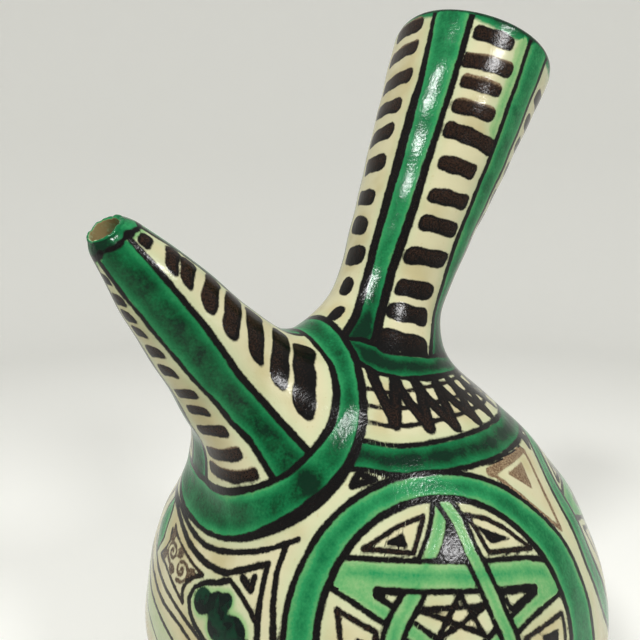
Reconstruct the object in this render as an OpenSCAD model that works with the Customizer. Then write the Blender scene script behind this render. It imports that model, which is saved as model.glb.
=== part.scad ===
// Spouted water jug of glazed clay: a hollow globe, thrown in two halves, on a flat foot, with a
// leaning neck to fill it, a spout to pour from, and a luted collar of clay over each of their joints.
// Millimetres, +Z up. The origin is the centre of the resting face. The spout points to -X.

/* [Body] */

// Largest outside radius of the body
body_r = 88; // [80:1:96]
// Radius of the belly arc in the side outline
belly_arc_r = 79; // [76:1:80]
// Depth of the flat cut across the bottom of the belly arc, where the foot is joined
base_cut = 6; // [4:0.5:8]
// Radius of the flatter shoulder arc above the belly
shoulder_arc_r = 150; // [135:1:170]
// Angle above the widest part at which belly turns into shoulder
shoulder_deg = 35; // [32:1:38]
// Clay thickness of the body
body_wall = 6; // [4:0.5:8]

/* [Foot] */

// Outside radius of the foot disc
foot_r = 46; // [42:1:54]
// Thickness of the foot disc
foot_h = 7; // [5:0.5:9]
// Rounding of the foot's rim
foot_round = 2; // [1:0.25:2.25]

/* [Neck] */

// Lean of the neck from upright, away from the spout
neck_lean_deg = 24.5; // [18:0.5:28]
// Depth of the neck's starting point below the body's peak
neck_sink = 4.4; // [3:0.1:6]
// Length of the neck along its own axis
neck_len = 121; // [100:1:140]
// Outside radius at the bottom of the neck
neck_root_r = 19.6; // [18.6:0.1:21]
// Outside radius that the lower third of the neck bends towards
neck_low_r = 20.6; // [20:0.1:22]
// Outside radius that the upper third of the neck bends towards
neck_high_r = 28; // [26:0.1:30]
// Outside radius at the mouth
neck_mouth_r = 32; // [30:0.1:35]
// Clay thickness at the mouth
neck_wall = 5; // [4:0.25:6]
// Radius of the straight throat inside the neck
throat_r = 14.5; // [13.5:0.1:15]
// Height above the neck's starting point at which the throat begins
throat_low_z = 18; // [17:0.5:20]
// Length of the straight throat
throat_len = 22; // [16:1:28]
// Widening of the bore below the throat
throat_relief = 0.7; // [0.4:0.1:1]

/* [Spout] */

// Lean of the spout from upright, square to the shoulder under it
spout_lean_deg = 39.3; // [38:0.1:43]
// Length of the spout along its own axis, from the body's skin
spout_len = 80.5; // [70:0.5:95]
// Outside radius at the bottom of the spout
spout_root_r = 26; // [24:0.1:28]
// Outside radius that the lower third of the spout bends towards
spout_low_r = 17.8; // [17:0.1:19]
// Outside radius that the upper third of the spout bends towards
spout_high_r = 15.9; // [15:0.1:17]
// Outside radius at the tip
spout_tip_r = 6.3; // [6.1:0.1:7.5]
// Radius of the pouring hole
spout_hole_r = 5; // [4:0.1:5.2]
// Length of the straight pouring hole behind the tip
spout_hole_len = 14; // [10:1:18]
// Clay thickness at the bottom of the spout
spout_wall = 6; // [5:0.25:7]

/* [Collars] */

// Slope of both collars, measured from the axis they run around
collar_deg = 35; // [30:1:40]
// Radius of the neck's collar at the body's skin
neck_collar_r = 32; // [30:0.5:34]
// Radius of the spout's collar at the body's skin, beside the spout
spout_collar_r = 41; // [38:0.5:43]

/* [Hidden] */

$fn = 96;
clay = [0.93, 0.90, 0.78];
glaze = [0.06, 0.45, 0.26];
// Number of straight steps in each curved tube outline
tube_steps = 14;
// How far tubes run on into the body before it trims them
tube_dip = 32;
// How far the collars' cones run on under the body's skin and inside the tubes
collar_run = 6;
// Reach past a skin, so that no two cuts share a face
past = 2;
// The shoulder arc is let into the belly arc by this much, so that the two cross cleanly
arc_bite = 0.05;
// Height by which the belly arc runs on inside the shoulder
arc_lap = 8;
// Length over which the neck's lower bore narrows to the throat
throat_lead = 3;
// Radius left out at the body's peak, inside the neck's bore
peak_hole_r = 7;

// Height of the body's widest part, where its two halves meet
body_mid_z = foot_h + belly_arc_r - base_cut;
belly_c_r = body_r - belly_arc_r;
shoulder_c_r = belly_c_r - (shoulder_arc_r - belly_arc_r) * cos(shoulder_deg);
shoulder_c_z = body_mid_z - (shoulder_arc_r - belly_arc_r) * sin(shoulder_deg);
body_peak_z = shoulder_c_z + sqrt(pow(shoulder_arc_r, 2) - pow(shoulder_c_r, 2));
neck_root_z = body_peak_z - neck_sink;
neck_bore_r = throat_r + throat_relief;
lip_r = neck_wall / 2;
lip_z = neck_len - lip_r;
spout_root_bore_r = spout_root_r - spout_wall;
// Radius of the shoulder's curve beside the spout, and how far the skin falls away at the collar
spout_cross_r = shoulder_arc_r + shoulder_c_r / sin(spout_lean_deg);
spout_collar_fall = spout_cross_r - sqrt(pow(spout_cross_r, 2) - pow(spout_collar_r, 2));

function skin_z(r) = shoulder_c_z + sqrt(pow(shoulder_arc_r, 2) - pow(r - shoulder_c_r, 2));
function bend(a, b, c, d, u) =
    a * pow(1 - u, 3) + 3 * b * u * pow(1 - u, 2) + 3 * c * u * u * (1 - u) + d * pow(u, 3);
function neck_r_at(u) = bend(neck_root_r, neck_low_r, neck_high_r, neck_mouth_r, u);
function spout_r_at(u) = bend(spout_root_r, spout_low_r, spout_high_r, spout_tip_r, u);

// Half of the body's side outline, grown outward by a clay thickness or shrunk by one
module body_outline(grow, floor_z) {
    join_z = body_mid_z + (belly_arc_r + grow) * sin(shoulder_deg);
    wide = body_r + grow + past;
    intersection() {
        translate([0, floor_z]) square([wide, join_z + arc_lap - floor_z]);
        translate([belly_c_r, body_mid_z]) circle(r = belly_arc_r + grow);
    }
    intersection() {
        translate([0, join_z - past]) square([wide, body_peak_z - join_z + 2 * past + grow]);
        translate([shoulder_c_r, shoulder_c_z]) circle(r = shoulder_arc_r + grow - arc_bite);
    }
}

module body_mass() {
    rotate_extrude() body_outline(0, foot_h);
}

module neck_frame() {
    translate([0, 0, neck_root_z]) rotate([0, neck_lean_deg, 0]) children();
}

// The spout stands square on the shoulder: its axis runs through the shoulder arc's centre
module spout_frame() {
    translate([-shoulder_c_r, 0, shoulder_c_z])
        rotate([0, -spout_lean_deg, 0])
            translate([0, 0, shoulder_arc_r])
                children();
}

// Outer outline of the neck from its axis outward, without the lip's rounding
module neck_outline() {
    polygon(concat(
        [[0, -tube_dip], [neck_root_r, -tube_dip]],
        [for (i = [0:tube_steps]) [neck_r_at(i / tube_steps), lip_z * i / tube_steps]],
        [[0, lip_z]]));
}

module neck_mass() {
    neck_frame() rotate_extrude() neck_outline();
}

module neck_hollow() {
    mouth_r = neck_mouth_r - neck_wall;
    polygon([
        [0, -tube_dip - past],
        [neck_bore_r, -tube_dip - past],
        [neck_bore_r, throat_low_z - throat_lead],
        [throat_r, throat_low_z],
        [throat_r, throat_low_z + throat_len],
        [mouth_r, lip_z],
        [mouth_r, neck_len + past],
        [0, neck_len + past]]);
}

module spout_outline() {
    polygon(concat(
        [[0, -tube_dip], [spout_root_r, -tube_dip]],
        [for (i = [0:tube_steps]) [spout_r_at(i / tube_steps), spout_len * i / tube_steps]],
        [[0, spout_len]]));
}

module spout_mass() {
    spout_frame() rotate_extrude() spout_outline();
}

module spout_hollow() {
    polygon([
        [0, -tube_dip - past],
        [spout_root_bore_r, -tube_dip - past],
        [spout_root_bore_r, 0],
        [spout_hole_r, spout_len - spout_hole_len],
        [spout_hole_r, spout_len + past],
        [0, spout_len + past]]);
}

// A collar is a cone of clay whose radius is collar_r at height 0, tucked inside its tube at the top
module collar_cone(collar_r, tube_r) {
    slope = tan(collar_deg);
    translate([0, 0, -collar_run])
        cylinder(
            r1 = collar_r + collar_run * slope,
            r2 = tube_r - collar_run,
            h = collar_run + (collar_r - tube_r + collar_run) / slope);
}

// The neck's collar leans half as far as the neck, so it follows both the neck and the body
module neck_collar_mass() {
    translate([0, 0, skin_z(neck_collar_r)])
        rotate([0, neck_lean_deg / 2, 0])
            collar_cone(neck_collar_r, neck_root_r);
}

module spout_collar_mass() {
    spout_frame() translate([0, 0, -spout_collar_fall]) collar_cone(spout_collar_r, spout_root_r);
}

// Half of the whole body's wall in side view
module body_wall_outline() {
    difference() {
        body_outline(0, foot_h);
        body_outline(-body_wall, foot_h + body_wall);
    }
}

module below_middle() {
    square([body_r + past, body_mid_z]);
}

module lower_body() {
    color(clay)
    rotate_extrude() intersection() {
        body_wall_outline();
        below_middle();
    }
}

module upper_body() {
    color(clay)
    difference() {
        rotate_extrude() difference() {
            body_wall_outline();
            below_middle();
            square([peak_hole_r, body_peak_z + past]);
        }
        neck_frame() translate([0, 0, -tube_dip]) cylinder(r = neck_bore_r, h = 2 * tube_dip);
        spout_frame() translate([0, 0, -tube_dip]) cylinder(r = spout_root_bore_r, h = 2 * tube_dip);
    }
}

module foot() {
    color(clay)
    rotate_extrude() {
        square([foot_r - foot_round, foot_h]);
        translate([0, foot_round]) square([foot_r, foot_h - 2 * foot_round]);
        translate([foot_r - foot_round, foot_round]) circle(r = foot_round);
        translate([foot_r - foot_round, foot_h - foot_round]) circle(r = foot_round);
    }
}

module neck() {
    color(clay)
    difference() {
        neck_frame() rotate_extrude() {
            difference() {
                neck_outline();
                neck_hollow();
            }
            translate([neck_mouth_r - lip_r, lip_z]) circle(r = lip_r);
        }
        body_mass();
    }
}

module neck_collar() {
    color(glaze)
    difference() {
        neck_collar_mass();
        body_mass();
        neck_mass();
        spout_mass();
        spout_collar_mass();
    }
}

module spout() {
    color(clay)
    difference() {
        spout_frame() rotate_extrude() difference() {
            spout_outline();
            spout_hollow();
        }
        body_mass();
        neck_mass();
    }
}

module spout_collar() {
    color(glaze)
    difference() {
        spout_collar_mass();
        body_mass();
        spout_mass();
        neck_mass();
    }
}

lower_body();
upper_body();
foot();
neck();
neck_collar();
spout();
spout_collar();
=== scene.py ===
# Spouted water jug of glazed clay, hand painted in green and dark brown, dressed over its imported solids.
# Shapes and strokes are worked out in millimetres in the part's own frame, and meshes are made in metres.
import math

import bpy
import numpy as np
from mathutils import Matrix


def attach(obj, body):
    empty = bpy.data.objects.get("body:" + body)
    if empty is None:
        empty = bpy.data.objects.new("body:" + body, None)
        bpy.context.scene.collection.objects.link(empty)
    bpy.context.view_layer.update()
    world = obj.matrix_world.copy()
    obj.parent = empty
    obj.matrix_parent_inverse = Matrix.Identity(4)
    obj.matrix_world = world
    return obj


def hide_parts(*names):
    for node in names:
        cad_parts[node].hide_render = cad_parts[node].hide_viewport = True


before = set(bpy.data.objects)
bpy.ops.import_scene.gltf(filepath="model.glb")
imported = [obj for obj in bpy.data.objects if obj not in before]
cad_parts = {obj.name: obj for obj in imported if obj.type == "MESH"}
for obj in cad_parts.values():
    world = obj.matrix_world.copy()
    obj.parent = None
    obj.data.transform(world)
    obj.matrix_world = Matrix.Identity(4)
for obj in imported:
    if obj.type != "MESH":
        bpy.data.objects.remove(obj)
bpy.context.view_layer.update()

MM = 0.001
TINY = 1e-9
rng = np.random.default_rng(12)

# Body outline: a belly arc with a flatter shoulder arc above it
BELLY_Z = 80.0
BODY_R = 88.0
BELLY_ARC = 79.0
SHOULDER_ARC = 150.0
SHOULDER_DEG = 35.0
BASE_Z = 7.0
BODY_WALL = 6.0
BELLY_C_R = BODY_R - BELLY_ARC
SHOULDER_C_R = BELLY_C_R - (SHOULDER_ARC - BELLY_ARC) * math.cos(math.radians(SHOULDER_DEG))
SHOULDER_C_Z = BELLY_Z - (SHOULDER_ARC - BELLY_ARC) * math.sin(math.radians(SHOULDER_DEG))
PEAK_Z = SHOULDER_C_Z + math.sqrt(SHOULDER_ARC ** 2 - SHOULDER_C_R ** 2)

# Neck and spout
NECK_LEAN = 24.5
NECK_SINK = 4.4
NECK_LIP_T = 118.5
NECK_LIP_R = 2.5
# The hand-drawn mouth: how far it rises past the plain neck, how much less at its front and how it tilts
RIM_LIFT, RIM_WAVE, RIM_TILT = 2.7, 1.6, 0.8
RIM_FRONT = -122.0
RIM_LIFT_FROM = 80.0
RIM_FLARE = 0.04
NECK_LIP_ARC, NECK_LIP_WAVE = (20, 180, 9), (0.05, 3, 0)
NECK_RADII = (19.4, 21.4, 29.0, 32.0)
THROAT = ((NECK_LIP_T, 27.0), (40.0, 14.5), (18.0, 14.5), (15.0, 15.2), (-6.0, 15.2))
NECK_BORE_SPAN = (116.0, THROAT[-1][0], 44)
SPOUT_LEAN = -39.3
SPOUT_LEN = 80.5
SPOUT_RADII = (26.0, 18.2, 16.0, 7.0)
SPOUT_BORE = ((SPOUT_LEN, 5.0), (66.5, 5.0), (0.0, 20.0), (-6.0, 20.0))
SPOUT_BORE_SPAN = (69.0, SPOUT_BORE[-1][0], 30)
# The tip is cut askew: height of the cut, its slant, the turn to which it falls and its wear
TIP_T = 80.4
TIP_SLANT = 13.0
TIP_FALL = -90.0
TIP_WEAR = ((0.12, 5, 1), (0.1, 9, 0), (0.06, 17, 2))
# The pouring hole lies a little beside the spout's axis, and runs back onto it
HOLE_R = 4.65
HOLE_SHIFT = 0.35
HOLE_TURN = 170.0
HOLE_END_T = 72.0
HOLE_SHARES = (0.06, 0.15, 0.3, 0.5, 0.75, 1.0)
# The tip's lip: its rise, the arc of its rows, and how the skin rounds in towards it
LIP_RISE = 0.4
TIP_LIP_ARC = (15, 180, 12)
TIP_ROUND = 1.15
TIP_ROUND_DEPTH = 4.2

# How far the tubes run on inside the body, and how softly they run into it
TUBE_DIP = 45.0
SPOUT_BLEND = 32.0
UNDER_BLEND = 17.0
UNDER_TURN = 125.0
NECK_BLEND = 27.0

# Where the pieces meet, each under a painted black line
NECK_ROOT_SLOPE = 0.2
NECK_EDGE_SHIFT = 0.08
# Height of the neck's lower border and radius of its collar's, by azimuth to either side
NECK_ROOT = (
    (0, 176.2), (63, 175.9), (73, 175.7), (84, 174.9), (110, 174.7), (121, 175.0), (126, 176.6),
    (137, 177.5), (146, 176.9), (180, 176.8))
NECK_EDGE = (
    (0, 34.3), (56, 34.3), (70, 33.2), (86, 32.7), (102, 32.1), (116, 32.6), (126, 33.3), (132, 33.0),
    (137, 32.5), (180, 32.4))
# Radii of the spout's lower border and of its collar's, by turn to either side
SPOUT_ROOT = (
    (0, 25.8), (29, 27.6), (45, 29.9), (64, 32.1), (79, 33.2), (92, 33.7), (112, 34.7), (131, 34.3),
    (146, 33.2), (162, 31.4), (180, 30.2))
SPOUT_EDGE = (
    (0, 36.5), (35, 36.7), (49, 36.8), (62, 37.5), (77, 38.6), (90, 40.3), (102, 41.4), (121, 42.8),
    (144, 43.1), (153, 43.0), (165, 42.4), (180, 41.7))

# Mesh fineness: step along the skin, then columns and rows of the pieces
WALK_STEP = 0.5
BODY_COLS, NECK_COLS, SPOUT_COLS, FOOT_COLS = 600, 250, 216, 300
TUBE_ROWS, NECK_COLLAR_ROWS, SPOUT_COLLAR_ROWS, UPPER_ROWS, LOWER_ROWS = 150, 26, 44, 142, 112
# Lengths of the section curves, and rounds in which their first points settle on the skin
NECK_WALK, SPOUT_WALK, UPPER_WALK, LOWER_WALK = 175, 170, 175, 120
SETTLE_ROUNDS = 4
# Depth of the clay under the collars, and the rows of each skin that its inner side follows
NECK_SKIRT, NECK_SKIRT_ROWS = 4.0, (-1, -9, -17, 0)
SPOUT_SKIRT, SPOUT_SKIRT_ROWS = 5.0, (-1, -15, -30, 0)
UPPER_IN_ROWS = (-1, -13, -30, -50, -75, -100, -125, 0)
LOWER_IN_ROWS = (-8, -20, -40, -60, -80, -100, 0)
# Steps that the neck keeps from the spout's collar, and the least steps across its own collar
NECK_KEEP, COLLAR_LEAST = 1.6, 1.0
# Height above which the neck's collar lies, and the middle that the upper body's columns run from
COLLAR_Z = 150.0
UPPER_HEART = np.array((-25.0, 0.0, 0.0))
UP = np.array((0.0, 0.0, 1.0))
LEVEL = np.array((1.0, 1.0, 0.0))


def follow(points, at):
    """Value of a given line at each place, between its points of place and value"""
    places, values = zip(*sorted(points))
    return np.interp(at, places, values)


def rise(value, start, end):
    """Share of the way from one value to another"""
    return np.clip((value - start) / (end - start), 0, 1)


def turned(angle):
    """An angle in degrees brought between -180 and 180"""
    return (np.asarray(angle) + 180.0) % 360.0 - 180.0


def ripple(angle, *waves):
    """Hand-made waves around a turn in degrees, each by height, count and phase"""
    return sum(height * np.sin(count * np.radians(angle) + phase) for height, count, phase in waves)


def hill(angle, middle, width, height):
    """A soft rise about one angle"""
    return height * np.exp(-((turned(angle - middle) / width) ** 2))


def unit(v):
    return v / np.linalg.norm(v, axis=-1, keepdims=True)


def direction(az, el):
    a, e = math.radians(az), math.radians(el)
    return np.array((math.cos(e) * math.cos(a), math.cos(e) * math.sin(a), math.sin(e)))


def azimuth(p):
    return np.degrees(np.arctan2(p[..., 1], p[..., 0]))


class Tube:
    """A leaning tube with its own axis: heights along it, turns about it and radii from it"""

    def __init__(self, origin, lean, length, radii):
        a = math.radians(lean)
        self.origin = np.array(origin)
        self.axis = np.array((math.sin(a), 0.0, math.cos(a)))
        self.zero = np.array((math.cos(a), 0.0, -math.sin(a)))
        self.length = length
        self.radii = radii

    def unroll(self, p):
        d = p - self.origin
        x = d @ self.zero
        y = d[..., 1]
        return d @ self.axis, np.degrees(np.arctan2(y, x)), np.hypot(x, y)

    def outward(self, turn):
        a = np.radians(turn)[..., None]
        return np.cos(a) * self.zero + np.sin(a) * np.array((0.0, 1.0, 0.0))

    def place(self, t, turn, r):
        t = np.asarray(t, float)[..., None]
        return self.origin + t * self.axis + np.asarray(r, float)[..., None] * self.outward(turn)

    def chart(self, p):
        """Heights and turns of points, and the millimetres to a degree of turn at their radii"""
        t, turn, r = self.unroll(p)
        return t, turn, r * math.pi / 180

    def gap(self, p):
        t, _, r = self.unroll(p)
        a, b, c, d = self.radii
        u = np.clip(t / self.length, 0, 1)
        v = 1 - u
        wall = a * v ** 3 + 3 * b * u * v ** 2 + 3 * c * u ** 2 * v + d * u ** 3
        slope = 3 * ((b - a) * v ** 2 + 2 * (c - b) * u * v + (d - c) * u ** 2) / self.length
        return np.maximum((r - wall) / np.sqrt(1 + slope ** 2), -TUBE_DIP - t)


NECK = Tube((0.0, 0.0, PEAK_Z - NECK_SINK), NECK_LEAN, NECK_LIP_T, NECK_RADII)
SPOUT_FOOT = (-SHOULDER_C_R + SHOULDER_ARC * math.sin(math.radians(SPOUT_LEAN)), 0.0,
              SHOULDER_C_Z + SHOULDER_ARC * math.cos(math.radians(SPOUT_LEAN)))
SPOUT = Tube(SPOUT_FOOT, SPOUT_LEAN, SPOUT_LEN, SPOUT_RADII)
HOLE_OFFSET = HOLE_SHIFT * SPOUT.outward(np.array(HOLE_TURN))


# The skin that all pieces share
def smooth_min(a, b, blend):
    h = np.clip(0.5 + 0.5 * (b - a) / blend, 0, 1)
    return b * (1 - h) + a * h - blend * h * (1 - h)


def body_gap(p):
    r = np.hypot(p[..., 0], p[..., 1])
    z = p[..., 2]
    turn = math.radians(SHOULDER_DEG)
    belly = np.hypot(r - BELLY_C_R, z - BELLY_Z) - BELLY_ARC
    shoulder = np.hypot(r - SHOULDER_C_R, z - SHOULDER_C_Z) - SHOULDER_ARC
    above = (z - BELLY_Z) * math.cos(turn) > (r - BELLY_C_R) * math.sin(turn)
    return np.where(above, shoulder, belly)


# Hand-made unevenness: waves of this height and wave vector, in millimetres and turns per millimetre,
# each shifted by a phase against the one before
WAVES = ((0.16, (0.021, 0.012, 0.017)), (0.13, (-0.014, 0.026, 0.022)), (0.10, (0.006, -0.008, 0.061)),
         (0.07, (0.044, 0.037, -0.03)))
WAVE_PHASE = 1.7


def unevenness(p):
    total = 0.0
    for k, (height, wave) in enumerate(WAVES):
        total = total + height * np.sin(2 * math.pi * (p @ np.array(wave)) + WAVE_PHASE * k)
    return total


def skin_gap(p):
    _, turn, _ = SPOUT.unroll(p)
    under = rise(np.abs(turn), UNDER_TURN, 180.0)
    blend = SPOUT_BLEND + (UNDER_BLEND - SPOUT_BLEND) * under * under * (3 - 2 * under)
    whole = smooth_min(smooth_min(body_gap(p), SPOUT.gap(p), blend), NECK.gap(p), NECK_BLEND)
    return whole + unevenness(p)


def slope_of(field, p, reach=0.05):
    """Gradient of a field at each point"""
    steps = np.eye(3) * reach
    return np.stack([(field(p + s) - field(p - s)) / (2 * reach) for s in steps], axis=-1)


def skin_normal(p):
    return unit(slope_of(skin_gap, p))


def walk(start, axis, outward, heading, length):
    """Section curves on the skin, one per column: heading +1 climbs the axis and -1 goes down it"""
    path = [start]
    p = start
    for _ in range(int(length / WALK_STEP)):
        g = slope_of(skin_gap, p)
        along = (g * axis).sum(-1, keepdims=True)
        out = (g * outward).sum(-1, keepdims=True)
        size = np.hypot(along, out)
        p = p + WALK_STEP * heading * (axis * out - outward * along) / size
        p = p - skin_gap(p)[:, None] * (axis * along + outward * out) / size ** 2
        path.append(p)
    return np.array(path)


def first_below(path, seam, begin=None):
    """Place along each column, in steps, where a seam's value first falls below zero"""
    value = seam(path)
    row = np.arange(len(path))[:, None]
    under = value < 0
    if begin is not None:
        under &= row > begin[None, :]
    i = np.maximum(under.argmax(0), 1)
    c = np.arange(path.shape[1])
    high, low = value[i - 1, c], value[i, c]
    place = i - 1 + np.clip(high / np.maximum(high - low, TINY), 0, 1)
    return np.where(under.any(0), place, len(path) - 1)


def rows_between(path, low, high, count):
    """Evenly spaced rows of points between two places along each column"""
    at = low + (high - low) * np.linspace(0, 1, count)[:, None]
    i = np.clip(at.astype(int), 0, len(path) - 2)
    f = (at - i)[..., None]
    c = np.arange(path.shape[1])
    return path[i, c] * (1 - f) + path[i + 1, c] * f


# Seams, positive on the side of the piece that comes first
def spout_root(p):
    _, turn, r = SPOUT.unroll(p)
    return follow(SPOUT_ROOT, np.abs(turn)) - r


def spout_edge(p):
    _, turn, r = SPOUT.unroll(p)
    return follow(SPOUT_EDGE, np.abs(turn)) - r


def neck_root(p):
    return p[..., 2] + NECK_ROOT_SLOPE * p[..., 0] - follow(NECK_ROOT, np.abs(azimuth(p)))


def neck_edge(p):
    reach = follow(NECK_EDGE, np.abs(azimuth(p))) - NECK_EDGE_SHIFT * p[..., 0]
    return reach - np.hypot(p[..., 0], p[..., 1])


def off_spout(p):
    return -spout_edge(p)


def off_collars(p):
    off_neck = np.where(p[..., 2] > COLLAR_Z, -neck_edge(p), Sheet.FAR)
    return np.minimum(off_neck, off_spout(p))


# Rings of points for each piece, outer skin first
def around(cols):
    return np.arange(cols) * 360.0 / cols


def level_ring(r, turn, z):
    a = np.radians(turn)
    return np.stack([r * np.cos(a), r * np.sin(a), np.full(len(turn), z)], -1)


def settled(p, out):
    """Points brought onto the skin along their outward directions"""
    for _ in range(SETTLE_ROUNDS):
        p = p - skin_gap(p)[:, None] * out
    return p


def inward(skin, rows, depth):
    """Rows of points below some rows of a skin"""
    return [skin[k] - depth * skin_normal(skin[k]) for k in rows]


def rim_lift(turn):
    a = np.radians(turn - RIM_FRONT)
    return RIM_LIFT - RIM_WAVE * np.cos(2 * a) + RIM_TILT * np.sin(a)


def lifted(rows, turn, out):
    """Rows of the neck, raised towards its uneven mouth"""
    rows = np.asarray(rows)
    share = rise(NECK.unroll(rows)[0], RIM_LIFT_FROM, NECK_LIP_T) ** 2
    return list(rows + (share * rim_lift(turn))[..., None] * (NECK.axis + RIM_FLARE * out))


def build_neck():
    turn = around(NECK_COLS)
    out = NECK.outward(turn)
    path = walk(NECK.place(NECK_LIP_T, turn, NECK_RADII[3]), NECK.axis, out, -1, NECK_WALK)
    root = np.minimum(first_below(path, neck_root), first_below(path, off_spout) - NECK_KEEP)
    edge = first_below(path, lambda p: np.minimum(neck_edge(p), off_spout(p)), root)
    edge = np.maximum(edge, root + COLLAR_LEAST)
    outer = rows_between(path, 0, root, TUBE_ROWS)
    high = NECK_LIP_R * (1 + ripple(turn, NECK_LIP_WAVE))
    lip = [NECK.place(NECK_LIP_T + high * math.sin(a), turn, NECK_RADII[3] + NECK_LIP_R * (math.cos(a) - 1))
           for a in np.radians(np.linspace(*NECK_LIP_ARC))]
    bore = [NECK.place(t, turn, follow(THROAT, t)) for t in np.linspace(*NECK_BORE_SPAN)]
    collar = rows_between(path, root, edge, NECK_COLLAR_ROWS)
    skirt = inward(collar, NECK_SKIRT_ROWS, NECK_SKIRT)
    return lifted(outer, turn, out), lifted(bore[::-1] + lip[::-1], turn, out), list(collar), skirt


def tip_cut(turn):
    """Height of the spout's cut tip at each turn, with a little wear"""
    fall = SPOUT_RADII[3] * math.tan(math.radians(TIP_SLANT)) * np.cos(np.radians(turn - TIP_FALL))
    return TIP_T - fall + ripple(turn, *TIP_WEAR)


def build_spout():
    turn = around(SPOUT_COLS)
    out = SPOUT.outward(turn)
    top = tip_cut(turn)
    path = walk(settled(SPOUT.place(top, turn, SPOUT_RADII[3]), out), SPOUT.axis, out, -1, SPOUT_WALK)
    root = first_below(path, spout_root)
    edge = first_below(path, spout_edge, root)
    depth = np.linspace(0, 1, TUBE_ROWS)[:, None] * root * WALK_STEP
    rounding = TIP_ROUND * rise(depth, TIP_ROUND_DEPTH, 0) ** 2
    outer = rows_between(path, 0, root, TUBE_ROWS) - rounding[..., None] * out
    start = outer[0]
    across = SPOUT.place(top, turn, HOLE_R) + HOLE_OFFSET - start
    width = np.linalg.norm(across, axis=-1, keepdims=True)
    lip = [start + across * (1 - math.cos(a)) / 2 + LIP_RISE * width * math.sin(a) * SPOUT.axis
           for a in np.radians(np.linspace(*TIP_LIP_ARC))]
    hole = [SPOUT.place(top + (HOLE_END_T - top) * k, turn, HOLE_R) + (1 - k) * HOLE_OFFSET
            for k in HOLE_SHARES]
    bore = [SPOUT.place(t, turn, follow(SPOUT_BORE, t)) for t in np.linspace(*SPOUT_BORE_SPAN)]
    collar = rows_between(path, root, edge, SPOUT_COLLAR_ROWS)
    skirt = inward(collar, SPOUT_SKIRT_ROWS, SPOUT_SKIRT)
    return list(outer), bore[::-1] + hole[::-1] + lip[::-1], list(collar), skirt


def build_bodies():
    rim = level_ring(BODY_R, around(BODY_COLS), BELLY_Z)
    out = unit((rim - UPPER_HEART) * LEVEL)
    rim = settled(rim, out)
    path = walk(rim, UP, out, 1, UPPER_WALK)
    upper = rows_between(path, 0, first_below(path, off_collars), UPPER_ROWS)
    down = walk(rim, UP, unit(rim * LEVEL), -1, LOWER_WALK)
    bottom = first_below(down, lambda p: p[..., 2] - BASE_Z)
    lower = rows_between(down, 0, bottom, LOWER_ROWS)
    upper_in = inward(upper, UPPER_IN_ROWS, BODY_WALL)
    lower_in = inward(lower, LOWER_IN_ROWS, BODY_WALL)
    return list(upper), upper_in, list(lower), lower_in


# Foot: radius and height of its rings; thumb marks make it uneven above a height and outside a radius
FOOT_PROFILE = ((36.0, 1.6), (38.0, 0.7), (40.0, 0.1), (42.0, 0.0), (44.0, 0.0), (45.2, 0.5), (45.8, 1.3),
                (46.0, 2.4), (45.8, 4.0), (45.7, 5.2), (45.4, 6.1), (44.6, 6.8), (43.4, 7.1), (42.0, 7.0),
                (40.5, 7.0), (38.5, 7.0))
FOOT_INSET = 0.3
THUMB_Z, THUMB_R = 1.5, 43.0


def build_foot():
    turn = around(FOOT_COLS)
    rings = []
    for r, z in FOOT_PROFILE:
        marked = z > THUMB_Z and r > THUMB_R
        thumb = ripple(turn, (0.22, 7, 0.4 * z), (0.15, 13, 1.1)) if marked else 0.0
        rings.append(level_ring(r + thumb - FOOT_INSET, turn, z))
    return rings


# Share of the texture map that the skin takes, and the places and radius of the flat ends in it
MAP_SKIN = 0.9
MAP_END_U, MAP_END_V, MAP_END_R = (0.25, 0.75), 0.95, 0.045


def add_mesh(name, verts, faces):
    mesh = bpy.data.meshes.new(name)
    mesh.from_pydata(verts, [], faces)
    mesh.shade_smooth()
    obj = bpy.data.objects.new(name, mesh)
    bpy.context.scene.collection.objects.link(obj)
    return obj


def faces_between(rows, cols, last):
    """Row, column and corners of each face between neighbouring rings"""
    i, c = np.indices((last, cols)).reshape(2, -1)
    i2, c2 = (i + 1) % rows, (c + 1) % cols
    return i, c, np.stack([i * cols + c, i * cols + c2, i2 * cols + c2, i2 * cols + c], -1)


def loft(name, rings, guide, caps):
    """A closed mesh through rings of equal length: a ring of rings, or a stack with flat ends"""
    cols, rows = len(rings[0]), len(rings)
    verts = np.concatenate(rings)
    last = rows - 1 if caps else rows
    i, c, quads = faces_between(rows, cols, last)
    p = verts[quads]
    volume = (np.cross(p[:, 0], p[:, 1]) * p[:, 2]).sum() + (np.cross(p[:, 0], p[:, 2]) * p[:, 3]).sum()
    u = np.stack([c, c + 1, c + 1, c], -1) / cols
    v = np.stack([i, i, i + 1, i + 1], -1) / last * MAP_SKIN
    # Faces are split along the strokes, so that slanting strokes keep smooth edges
    paint = np.zeros(len(verts))
    paint[:len(guide)] = guide
    corner = paint[quads]
    other = np.abs(corner[:, 1] - corner[:, 3]) < np.abs(corner[:, 0] - corner[:, 2])
    quads, u, v = [np.where(other[:, None], np.roll(a, 1, axis=1), a) for a in (quads, u, v)]
    if volume < 0:
        quads, u, v = quads[:, ::-1], u[:, ::-1], v[:, ::-1]
    faces = quads.tolist()
    uv = np.stack([u.ravel(), v.ravel()], -1)
    if caps:
        ring = list(range(cols))
        top = [last * cols + k for k in ring]
        for middle, end in zip(MAP_END_U, (ring[::-1], top) if volume > 0 else (ring, top[::-1])):
            faces.append(end)
            a = np.array([e % cols for e in end]) * 2 * math.pi / cols
            spots = np.stack([middle + MAP_END_R * np.cos(a), MAP_END_V + MAP_END_R * np.sin(a)], -1)
            uv = np.concatenate([uv, spots])
    obj = add_mesh(name, (verts * MM).tolist(), faces)
    obj.data.uv_layers.new(name="OFBake").data.foreach_set("uv", uv.ravel())
    return obj


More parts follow.
